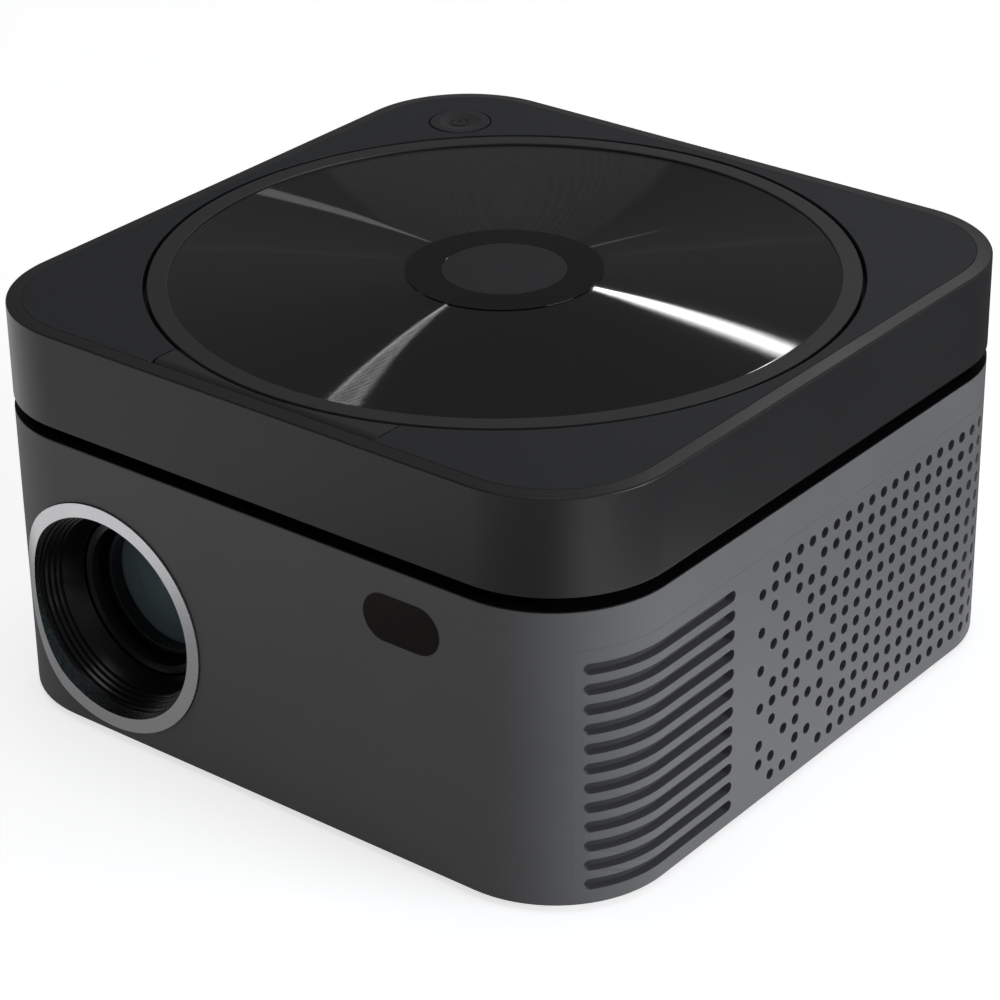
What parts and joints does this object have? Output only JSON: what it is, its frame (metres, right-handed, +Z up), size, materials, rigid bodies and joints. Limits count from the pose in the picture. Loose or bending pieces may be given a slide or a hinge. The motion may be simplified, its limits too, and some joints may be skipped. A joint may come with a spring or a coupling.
{
  "type": "projector with built in disc player",
  "caption": "Square rounded projector with a top-loading disc player under a hinged round lid, side vents and a front focus ring.",
  "frame": {"origin": "on the table under the centre of the case", "axes": "+Z up; the lens looks along -Y; the vented side faces +X"},
  "size_m": [0.2, 0.2012, 0.1128],
  "materials": {
    "upper_shell": "satin moulded",
    "lower_shell": "satin moulded",
    "top_skin": "satin moulded",
    "gap_black": "matt",
    "lid_ring": "satin",
    "lid_disc": "fine turned grooves, glossy",
    "hub_black": "gloss",
    "hub_grey": "satin",
    "button": "satin",
    "bezel_metal": "satin anodised",
    "lens_black": "semi-matt",
    "coated_glass": "coated, polished",
    "ir_filter": "gloss",
    "rubber_black": "matt",
    "steel": "zinc plated",
    "brass": "turned",
    "board_green": "solder mask",
    "inner_plastic": "moulded",
    "white_plastic": "moulded",
    "alloy": "extruded",
    "filter_mesh": "fine mesh",
    "speaker_mesh": "fine mesh",
    "mirror_glass": "polished",
    "clear_lens": "polished"
  },
  "bodies": {
    "housing": {"base_plate": "lower_shell", "rubber_feet": "rubber_black", "case_screws": "steel", "tripod_nut": "brass", "lower_housing": "lower_shell", "side_grille": "lower_shell", "dust_filter": "filter_mesh", "speaker_cloth": "speaker_mesh", "intake_grille": "lower_shell", "mid_frame": "gap_black", "upper_housing": "upper_shell", "top_plate": "top_skin", "hinge_pin": "steel", "latch_housing": "inner_plastic", "key_board": "board_green", "disc_well": "inner_plastic", "spindle_motor": "steel", "traverse_chassis": "steel", "guide_rods": "steel", "damper_grommets": "rubber_black", "sled_motor": "steel", "lens_bezel": "bezel_metal", "lens_baffle": "lens_black", "lens_sleeve": "lens_black", "ir_window": "ir_filter", "receiver_board": "board_green", "engine_case": "inner_plastic", "engine_cover": "inner_plastic", "lcd_panel": "clear_lens", "fresnel_lenses": "clear_lens", "condenser_lens": "clear_lens", "fold_mirror": "mirror_glass", "led_module": "alloy", "heat_sink": "alloy", "fan_frame": "inner_plastic", "speaker": "steel", "main_board": "board_green", "hdmi_socket": "steel", "usb_socket": "steel", "av_jack": "inner_plastic", "headphone_jack": "inner_plastic", "dc_jack": "inner_plastic", "power_board": "board_green"},
    "lid": {"lid_frame": "lid_ring", "lid_plate": "lid_disc", "hub_ring": "hub_black", "hub_badge": "hub_grey", "lid_striker": "inner_plastic"},
    "latch": {"latch_plunger": "white_plastic"},
    "power_key": {"power_button": "button"},
    "platter": {"turntable": "inner_plastic", "turntable_pad": "rubber_black", "centring_balls": "steel"},
    "sled": {"pickup_sled": "inner_plastic", "objective_lens": "clear_lens"},
    "sled_screw": {"lead_screw": "steel"},
    "focus": {"focus_ring": "lens_black"},
    "lens": {"lens_cell": "lens_black", "front_lens": "coated_glass"},
    "impeller": {"fan_impeller": "inner_plastic"}
  },
  "joints": [
    {"name": "lid_hinge", "type": "hinge", "parent": "housing", "child": "lid", "pos_m": [0, -0.09255, 0.1097], "axis": [1, 0, 0], "range_deg": [0, 70]},
    {"name": "latch_press", "type": "slide", "parent": "housing", "child": "latch", "axis": [0, 0, -1], "range_m": [0, 0.0012], "stiffness_N_per_m": 400, "springref_m": -0.0003},
    {"name": "power_press", "type": "slide", "parent": "housing", "child": "power_key", "axis": [0, 0, -1], "range_m": [0, 0.0008], "stiffness_N_per_m": 400, "springref_m": -0.0003},
    {"name": "platter_spin", "type": "hinge", "parent": "housing", "child": "platter", "pos_m": [0, 0, 0.1], "axis": [0, 0, 1], "continuous": true},
    {"name": "sled_travel", "type": "slide", "parent": "housing", "child": "sled", "axis": [1, 0, 0], "range_m": [0, 0.035]},
    {"name": "screw_turn", "type": "hinge", "parent": "housing", "child": "sled_screw", "pos_m": [0.008, -0.031, 0.0972], "axis": [1, 0, 0], "range_deg": [0, 4210]},
    {"name": "focus_turn", "type": "hinge", "parent": "housing", "child": "focus", "pos_m": [-0.0524, -0.08, 0.0362], "axis": [0, -1, 0], "range_deg": [-46, 46]},
    {"name": "lens_shift", "type": "slide", "parent": "housing", "child": "lens", "axis": [0, -1, 0], "range_m": [-0.002, 0.002]},
    {"name": "fan_spin", "type": "hinge", "parent": "housing", "child": "impeller", "pos_m": [0.079, -0.043, 0.0344], "axis": [1, 0, 0], "continuous": true}
  ],
  "couplings": [
    {"joint": "screw_turn", "follows": "sled_travel", "rad_per_m": 2094.4},
    {"joint": "focus_turn", "follows": "lens_shift", "rad_per_m": 392.7}
  ]
}
